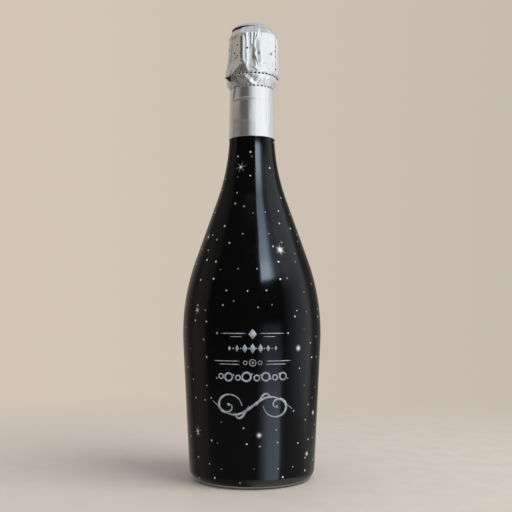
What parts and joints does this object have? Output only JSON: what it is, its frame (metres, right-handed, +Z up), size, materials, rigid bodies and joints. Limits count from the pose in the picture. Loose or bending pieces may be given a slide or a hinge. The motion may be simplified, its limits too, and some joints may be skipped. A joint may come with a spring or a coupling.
{
  "type": "sparkling wine bottle",
  "caption": "Full sparkling wine bottle with printed shrink sleeve, foil capsule with tear strip, wire hood and mushroom cork.",
  "frame": {"origin": "centre of the base at the surface that the bottle stands on", "axes": "+Z up along the bottle's axis, -Y towards the front of the print"},
  "size_m": [0.093, 0.093, 0.3043],
  "materials": {
    "glass": "dark green bottle glass, smooth, with a stippled foot ring",
    "wine": "clear pale straw liquid",
    "sleeve": "black printed shrink film with small pale stars, glossy",
    "foil": "bright silver foil, satin to mirror, crumpled",
    "tape": "black tear tape",
    "plaque": "plain tinned steel disc",
    "wire": "galvanised wire",
    "cork": "agglomerated cork granules",
    "cork_disc": "natural cork disc"
  },
  "bodies": {
    "bottle": {"glass_bottle": "glass", "wine": "wine", "printed_sleeve": "sleeve", "foil_skirt": "foil", "tear_strip": "foil", "tear_tape": "tape"},
    "tab": {"pull_tab": "tape"},
    "cork": {"cork_body": "cork", "cork_disc_upper": "cork_disc", "cork_disc_lower": "cork_disc"},
    "hood": {"hood_plaque": "plaque", "hood_frame_wire": "wire", "hood_belt_wire": "wire"},
    "capsule_crown": {"foil_crown": "foil", "foil_top_disc": "foil"}
  },
  "joints": [
    {"name": "tab_pull", "type": "hinge", "parent": "bottle", "child": "tab", "pos_m": [-0.0112, -0.01383, 0.2685], "axis": [0, 0, 1], "range_deg": [0, 100]},
    {"name": "cork_pull", "type": "slide", "parent": "bottle", "child": "cork", "axis": [0, 0, 1], "range_m": [0, 0.03]},
    {"name": "hood_lift", "type": "slide", "parent": "cork", "child": "hood", "axis": [0, 0, 1], "range_m": [0, 0.045], "deforming": ["hood_belt_wire", "hood_frame_wire"]},
    {"name": "crown_lift", "type": "slide", "parent": "hood", "child": "capsule_crown", "axis": [0, 0, 1], "range_m": [0, 0.045]}
  ]
}
